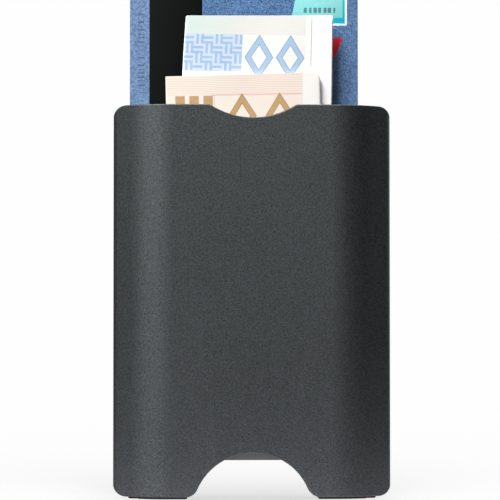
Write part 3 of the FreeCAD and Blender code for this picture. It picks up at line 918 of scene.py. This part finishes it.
def add_fibre(bm, draw, pad, x, z):
    """One wool fibre: a thin tapered hair that arches off the nap and comes back to it."""
    heading = draw.uniform(0, 2 * math.pi)
    bend = draw.uniform(-1.4, 1.4)
    length = draw.uniform(0.8, 2.2) * MM
    thickness = draw.uniform(0.016, 0.03) * MM
    rise = draw.uniform(0.03, 0.09) * MM
    reach_x, reach_z = pad.half_x - FIBRE_MARGIN, pad.half_z - FIBRE_MARGIN
    rings = []
    for step in range(FIBRE_STEPS + 1):
        share = step / FIBRE_STEPS
        angle = heading + bend * share
        inside_x = max(-reach_x, min(reach_x, x))
        inside_z = max(-reach_z, min(reach_z, z))
        lift = rise * math.sin(math.pi * share)
        depth = pad.low.y + max(0.03 * MM, nap(pad, inside_x, inside_z) - lift)
        girth = thickness * (1.0 - 0.8 * abs(2 * share - 1))
        side_x, side_z = -math.sin(angle) * girth, math.cos(angle) * girth
        across, up = pad.middle_x + inside_x, pad.middle_z + inside_z
        left = (across + side_x, depth, up + side_z)
        crest = (across, depth - girth, up)
        right = (across - side_x, depth, up - side_z)
        rings.append([left, crest, right])
        x += math.cos(angle) * length / FIBRE_STEPS
        z += math.sin(angle) * length / FIBRE_STEPS
    add_stack(bm, rings)


# ---------------- card details

CHIP_GAP = 0.28 * MM
CHIP_ROWS = 4
CHIP_MARGIN = 0.12 * MM  # carrier left showing round the plates
CHIP_PLATE = 0.07 * MM
CHIP_RIM = 0.02 * MM
CHIP_SIDE_SHARE = 0.30  # width of the side columns, as a share of the chip's
CHIP_CORNER = 1.6 * MM
OUTER_PLATE_CORNER = 0.9 * MM
INNER_PLATE_CORNER = 0.35 * MM
MIDDLE_PLATE_CORNER = 0.4 * MM
CARD_EDGE = 0.04 * MM
TAPE_START = 4.6 * MM
TAPE_WIDTH = 12.5 * MM
TAPE_INSET = 0.05 * MM
OVERLAY = 0.015 * MM  # how far tape and label stand proud of the card
OVERLAY_SINK = 0.01 * MM
OVERLAY_RIM = 0.01 * MM
LABEL_LEFT = 37.8 * MM
LABEL_RIGHT = 51.4 * MM
LABEL_TOP = 3.2 * MM
LABEL_BOTTOM = 12.9 * MM
LABEL_LEAN = 2.1 * MM
LABEL_CORNER = 0.35 * MM


def chip_pieces(card, gold, resin):
    """A chip's contact plates over their resin carrier, in place of the plain CAD chip."""
    node = card + "_chip"
    low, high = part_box(node)
    plate_depth = high.y - CHIP_PLATE
    base = bmesh.new()
    outline = rounded_outline(low.x, low.z, high.x, high.z, CHIP_CORNER, 8)
    add_plate(base, outline, low.y, plate_depth, CHIP_RIM)
    new_piece(node + "_carrier", mesh_from(base, node + "_carrier", 40), card, resin)

    plates = bmesh.new()
    side = (high.x - low.x) * CHIP_SIDE_SHARE
    pitch = (high.z - low.z) / CHIP_ROWS
    for row in range(CHIP_ROWS):
        bottom = max(low.z + row * pitch + CHIP_GAP / 2, low.z + CHIP_MARGIN)
        top = min(low.z + (row + 1) * pitch - CHIP_GAP / 2, high.z - CHIP_MARGIN)
        outer = row in (0, CHIP_ROWS - 1)
        corner = OUTER_PLATE_CORNER if outer else INNER_PLATE_CORNER
        left = rounded_outline(low.x + CHIP_MARGIN, bottom, low.x + side, top, corner)
        right = rounded_outline(high.x - side, bottom, high.x - CHIP_MARGIN, top, corner)
        add_plate(plates, left, plate_depth, high.y, CHIP_RIM)
        add_plate(plates, right, plate_depth, high.y, CHIP_RIM)
    inner_left, inner_right = low.x + side + CHIP_GAP, high.x - side - CHIP_GAP
    middle = (low.z + high.z) / 2
    half_plate = pitch - CHIP_GAP / 2
    spans = (
        (low.z + CHIP_MARGIN, middle - half_plate - CHIP_GAP / 2),
        (middle - half_plate + CHIP_GAP / 2, middle + half_plate - CHIP_GAP / 2),
        (middle + half_plate + CHIP_GAP / 2, high.z - CHIP_MARGIN),
    )
    for bottom, top in spans:
        outline = rounded_outline(inner_left, bottom, inner_right, top, MIDDLE_PLATE_CORNER)
        add_plate(plates, outline, plate_depth, high.y, CHIP_RIM)
    mesh = mesh_from(plates, node + "_contacts", 40)
    new_piece(node + "_contacts", mesh, card, gold, (node,))


def magnetic_stripe(card, tape):
    """The tape laid on a card's front face, from its bottom edge to its top edge."""
    low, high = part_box(card)
    bm = bmesh.new()
    left = low.x + TAPE_START
    bottom, top = low.z + TAPE_INSET, high.z - TAPE_INSET
    outline = rounded_outline(left, bottom, left + TAPE_WIDTH, top, TAPE_INSET, 2)
    add_plate(bm, outline, low.y + OVERLAY_SINK, low.y - OVERLAY, OVERLAY_RIM)
    new_piece(card + "_stripe", mesh_from(bm, card + "_stripe", 40), card, tape)


def corner_label(card):
    """The label near the front card's top right corner: a sticker with a leaning left side."""
    low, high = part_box(card)
    left, right = low.x + LABEL_LEFT, low.x + LABEL_RIGHT
    bottom, top = high.z - LABEL_BOTTOM, high.z - LABEL_TOP
    outline = rounded_outline(left, bottom, right, top, LABEL_CORNER, 4)
    middle_x = (left + right) / 2
    leaning = []
    for x, z in outline:
        share = (z - bottom) / (top - bottom)
        leaning.append((x + LABEL_LEAN * share if x < middle_x else x, z))
    bm = bmesh.new()
    add_plate(bm, leaning, low.y + OVERLAY_SINK, low.y - OVERLAY, OVERLAY_RIM)
    material = label_print((Vector((left, low.y, bottom)), Vector((right, low.y, top))))
    new_piece(card + "_label", mesh_from(bm, card + "_label", 40), card, material)


# ---------------- putting it together


def paint(node, material):
    """Gives a CAD node its finish."""
    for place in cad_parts[node].material_slots:
        place.material = material


def soften(node):
    """Breaks a CAD node's sharp edges by a hair, so that they catch the light."""
    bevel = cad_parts[node].modifiers.new("edge", "BEVEL")
    bevel.width = CARD_EDGE
    bevel.segments = 2
    bevel.limit_method = "ANGLE"
    bevel.angle_limit = math.radians(50)
    bevel.harden_normals = True


def dress_hardware():
    """The sleeve and the pieces fixed to it."""
    paint("sleeve", anodised_metal())
    nylon = moulded_nylon()
    for foot in ("foot_left", "foot_right"):
        paint(foot, nylon)
    paint("spring_plate", rolled_steel())
    felt = wool_felt()
    for seed, pad in enumerate(("felt_pad_left", "felt_pad_right"), start=1):
        new_piece(pad + "_felt", felt_mesh(pad, seed), "sleeve", felt, (pad,))


def dress_cards():
    """The four cards, each with its print, chip and stripe, and the front card's label."""
    designs = (
        ("front_card", "card_blue", blue_card),
        ("second_card", "card_green", green_card),
        ("third_card", "card_white", white_card),
        ("rear_card", "card_charcoal", charcoal_card),
    )
    gold, resin, tape = gold_contact(), chip_resin(), magnetic_tape()
    for card, slot, design in designs:
        paint(card, design(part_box(card)))
        soften(card)
        chip_pieces(card, gold, resin)
        magnetic_stripe(card, tape)
    corner_label("front_card")


def dress_notes():
    """The two folded banknotes."""
    folded_note("front_note", FRONT_NOTE, orange_note_paper())
    folded_note("rear_note", REAR_NOTE, blue_note_paper())


# ---------------- studio


def direction(azimuth, elevation):
    """A unit vector from the object: azimuth 0 is towards the front, 90 towards +X."""
    turned, raised = math.radians(azimuth), math.radians(elevation)
    return Vector(
        (math.sin(turned) * math.cos(raised), -math.cos(turned) * math.cos(raised), math.sin(raised))
    )


def mirrored_lights():
    """What the metal mirrors: a tall softbox in front and one behind, an overhead, and two edge strips."""
    front = (SOFTBOX_TOP, SOFTBOX_BOTTOM)
    back = tuple(lobe._replace(azimuth=lobe.azimuth + BEHIND) for lobe in front)
    return front + back + (OVERHEAD, LEFT_EDGE, RIGHT_EDGE)


def studio_world():
    """White to the camera, an even dome for matt surfaces, and soft lobes for the metal to mirror."""
    world = bpy.data.worlds.new("studio")
    bpy.context.scene.world = world
    world.use_nodes = True
    world.cycles.sampling_method = "NONE"
    nodes = Nodes(world.node_tree)
    background = world.node_tree.nodes["Background"]
    towards = nodes.node("ShaderNodeTexCoord", {}, "Generated")
    mirrored = None
    for lobe in mirrored_lights():
        centre = tuple(direction(lobe.azimuth, lobe.elevation))
        cosine = nodes.vector("DOT_PRODUCT", towards, centre, "Value")
        spread = nodes.math("EXPONENT", (cosine - 1.0) * lobe.sharpness) * lobe.radiance
        mirrored = spread if mirrored is None else mirrored + spread
    mirrored = mirrored + MIRROR_BASE
    path = nodes.node("ShaderNodeLightPath", {}, "Is Glossy Ray").socket.node
    glossy = Field(nodes, path.outputs["Is Glossy Ray"])
    camera = Field(nodes, path.outputs["Is Camera Ray"])
    strength = nodes.node("ShaderNodeMix", {0: glossy, 2: DOME_LIGHT, 3: mirrored}, data_type="FLOAT")
    strength = nodes.node("ShaderNodeMix", {0: camera, 2: strength, 3: BACKDROP}, data_type="FLOAT")
    nodes.fill(background.inputs["Strength"], strength)
    nodes.fill(background.inputs["Color"], WHITE)


def soft_lamp(shape, receivers):
    """A square lamp for the wallet's matt surfaces: the metal mirrors the lobes, and the floor skips it."""
    data = bpy.data.lights.new(shape.name, "AREA")
    data.size = shape.size
    data.energy = shape.power
    lamp = bpy.data.objects.new(shape.name, data)
    bpy.context.scene.collection.objects.link(lamp)
    aim = Vector((0.0, 0.0, cad_box[1].z / 2))
    back = direction(shape.azimuth, shape.elevation)
    lamp.location = aim + back * shape.distance
    lamp.rotation_euler = back.to_track_quat("Z", "Y").to_euler()
    lamp.visible_glossy = False
    lamp.visible_camera = False
    lamp.light_linking.receiver_collection = receivers


def studio_floor():
    """A round pale table that fades into the white backdrop."""
    bm = bmesh.new()
    bmesh.ops.create_circle(bm, cap_ends=True, segments=96, radius=FLOOR_RADIUS)
    floor = bpy.data.objects.new("studio_floor", mesh_from(bm, "studio_floor"))
    floor.location.z = cad_box[0].z - FLOOR_DROP
    floor.visible_diffuse = False
    bpy.context.scene.collection.objects.link(floor)
    floor.data.materials.append(floor_finish())
    return floor


def contact_shadow(s):
    """How much painted shadow darkens the floor's glow round the wallet's foot."""
    foot_low, foot_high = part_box("sleeve")
    beside = s.math("MAXIMUM", abs(s.x) + (SHADOW_INSET - foot_high.x / MM), 0.0)
    ahead = s.math("MAXIMUM", foot_low.y / MM - s.y, 0.0)
    behind = s.math("MAXIMUM", s.y - foot_high.y / MM, 0.0)
    beside = beside * SHADOW_PINCH / (behind / SHADOW_SPREAD + 1.0)
    gap = s.length(beside, ahead + behind / SHADOW_STRETCH)
    return s.math("EXPONENT", gap * (-1 / CONTACT_REACH)) * CONTACT_DEPTH


def mirrored_floor(s, away):
    """The floor as the metal mirrors it: brighter close by, as a table that bounces the key light."""
    near = s.math("EXPONENT", away * (-1 / BOUNCE_REACH))
    brighter = abs(s.x).above(60, 60) * BOUNCE_SIDE + BOUNCE_NEAR
    inputs = {"Color": BOUNCE_COLOUR, "Strength": near * brighter + BOUNCE_FAR}
    return s.node("ShaderNodeEmission", inputs)


def floor_finish():
    """Matt and pale, with a painted contact shadow in its glow, fading into the backdrop.

    From below it is clear, so that the wallet's underside can be looked at.
    """
    s = Surface("studio_floor")
    tone = s.noise(0.9, 3) * 0.02 + 1.0
    s.shade(s.scaled((FLOOR_TONE,) * 3, tone), 0.9, Specular_IOR_Level=0.0)
    matt = Field(s, s.shader.outputs[0])
    away = s.length(s.x, s.y)
    # The floor's own glow, less the contact shadow painted into it near the wallet.
    lift = s.node("ShaderNodeEmission", {"Color": WHITE, "Strength": FLOOR_LIFT - contact_shadow(s)})
    far = s.node("ShaderNodeEmission", {"Color": WHITE, "Strength": BACKDROP})
    fade = s.node("ShaderNodeMapRange", {0: away, 1: FLOOR_FADE_START, 2: FLOOR_FADE_END})
    seen = s.node("ShaderNodeAddShader", {0: matt, 1: lift})
    seen = s.node("ShaderNodeMixShader", {0: fade, 1: seen, 2: far})
    glossy = s.node("ShaderNodeLightPath", {}, "Is Glossy Ray")
    shown = s.node("ShaderNodeMixShader", {0: glossy, 1: seen, 2: mirrored_floor(s, away)})
    below = s.node("ShaderNodeNewGeometry", {}, "Backfacing") * (1 - glossy)
    clear = s.node("ShaderNodeBsdfTransparent", {})
    shown = s.node("ShaderNodeMixShader", {0: below, 1: shown, 2: clear})
    s.fill(s.tree.nodes["Material Output"].inputs["Surface"], shown)
    return s.material


def lamp_receivers(floor):
    """Everything but the floor takes the lamps' light."""
    receivers = bpy.data.collections.new("lamp_receivers")
    receivers.objects.link(floor)
    receivers.collection_objects[0].light_linking.link_state = "EXCLUDE"
    return receivers


def studio_camera():
    """The camera, a little left of the front and a little below the wallet's middle."""
    data = bpy.data.cameras.new("camera")
    data.lens = CAMERA_LENS
    data.sensor_width = 36.0
    data.clip_start = 0.01
    camera = bpy.data.objects.new("camera", data)
    bpy.context.scene.collection.objects.link(camera)
    sleeve_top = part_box("sleeve")[1].z
    aim = Vector((CAMERA_AIM_ACROSS, 0.0, CAMERA_AIM_SHARE * sleeve_top))
    back = direction(CAMERA_AZIMUTH, CAMERA_ELEVATION)
    camera.location = aim + back * CAMERA_DISTANCE
    camera.rotation_mode = "QUATERNION"
    camera.rotation_quaternion = back.to_track_quat("Z", "Y")
    bpy.context.scene.camera = camera


def drop_imported_materials():
    """Clears the plain materials that came with the frame."""
    for imported in list(bpy.data.materials):
        bpy.data.materials.remove(imported)


drop_imported_materials()
dress_hardware()
dress_cards()
dress_notes()
studio_world()
light_receivers = lamp_receivers(studio_floor())
for lamp_shape in LAMPS:
    soft_lamp(lamp_shape, light_receivers)
studio_camera()
bpy.context.scene.view_settings.view_transform = "Standard"
